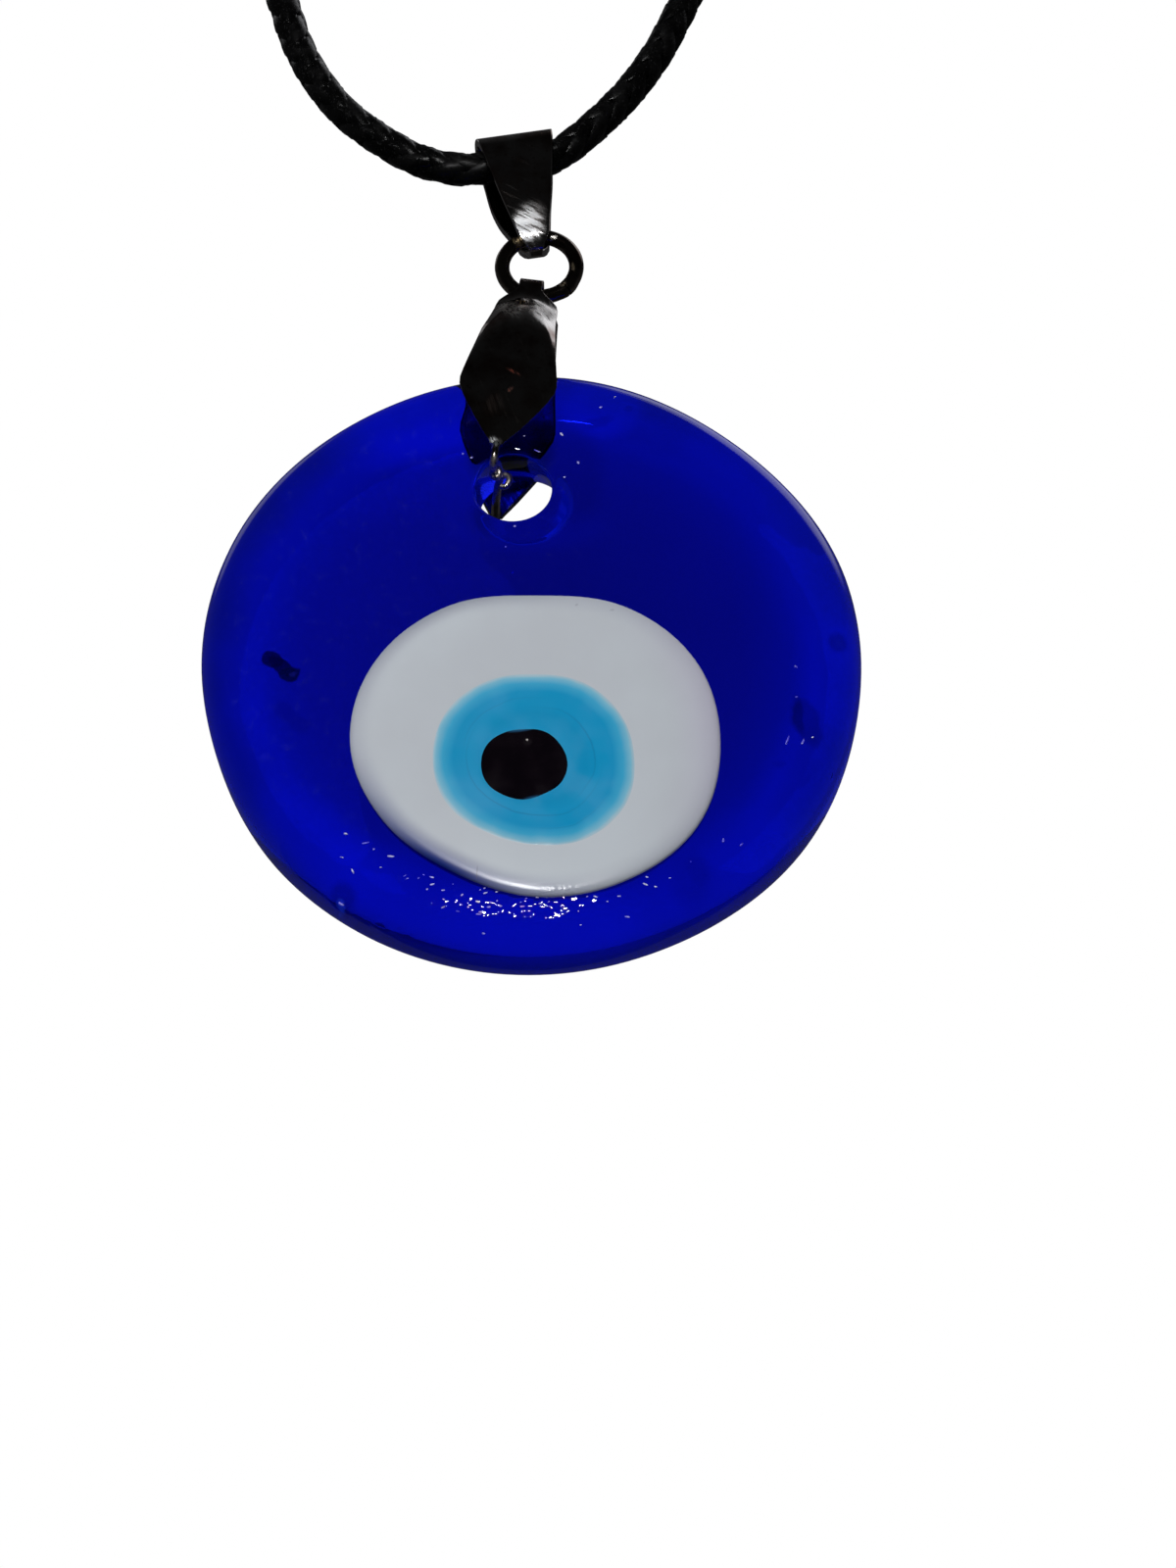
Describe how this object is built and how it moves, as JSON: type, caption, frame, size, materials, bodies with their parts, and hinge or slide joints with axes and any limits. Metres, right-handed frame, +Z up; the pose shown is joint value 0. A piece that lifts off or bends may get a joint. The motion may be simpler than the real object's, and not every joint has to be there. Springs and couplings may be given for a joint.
{
  "type": "eye pendant necklace",
  "caption": "Cobalt glass eye disc on a folded leaf bail, jump ring and teardrop bail, hanging from a closed loop of black braided cord.",
  "frame": {"origin": "underside of the clasp at the middle of the loop's top, where the cord lies on the nape or on a peg", "axes": "+X right, +Y away from the viewer through the disc, +Z up; the eye faces -Y and the pendant hangs below"},
  "size_m": [0.1282, 0.0082, 0.2174],
  "materials": {
    "black_cord": "glossy braided imitation leather",
    "clasp_metal": "polished plating",
    "bail_metal": "polished plating with fine scratches",
    "ring_metal": "polished plated wire",
    "leaf_metal": "polished plating",
    "cobalt_glass": "fire-polished cobalt glass with small bubbles",
    "white_glass": "smooth opaque white glass",
    "light_blue_glass": "smooth opaque light blue glass",
    "black_glass": "smooth black glass"
  },
  "bodies": {
    "necklace": {"cord": "black_cord", "clasp": "clasp_metal"},
    "teardrop_bail": {"upper_bail": "bail_metal"},
    "ring": {"jump_ring": "ring_metal"},
    "leaf": {"pinch_bail": "leaf_metal"},
    "eye": {"glass_disc": "cobalt_glass", "white_dot": "white_glass", "light_blue_dot": "light_blue_glass", "pupil": "black_glass"}
  },
  "joints": [
    {"name": "bail_swing", "type": "hinge", "parent": "necklace", "child": "teardrop_bail", "pos_m": [-0.00145, 0, -0.1468], "axis": [0.9848, 0, 0.1736], "range_deg": [-75, 75]},
    {"name": "ring_swing", "type": "hinge", "parent": "teardrop_bail", "child": "ring", "pos_m": [-0.00022, 0, -0.15379], "axis": [0.9848, 0, 0.1736], "range_deg": [-45, 45]},
    {"name": "leaf_swing", "type": "hinge", "parent": "ring", "child": "leaf", "pos_m": [-0.00036, 0, -0.15918], "axis": [0.9903, 0, -0.1392], "range_deg": [-35, 35]},
    {"name": "disc_sway", "type": "hinge", "parent": "leaf", "child": "eye", "pos_m": [-0.00273, 0, -0.17601], "axis": [0, -1, 0], "range_deg": [-25, 25]}
  ]
}
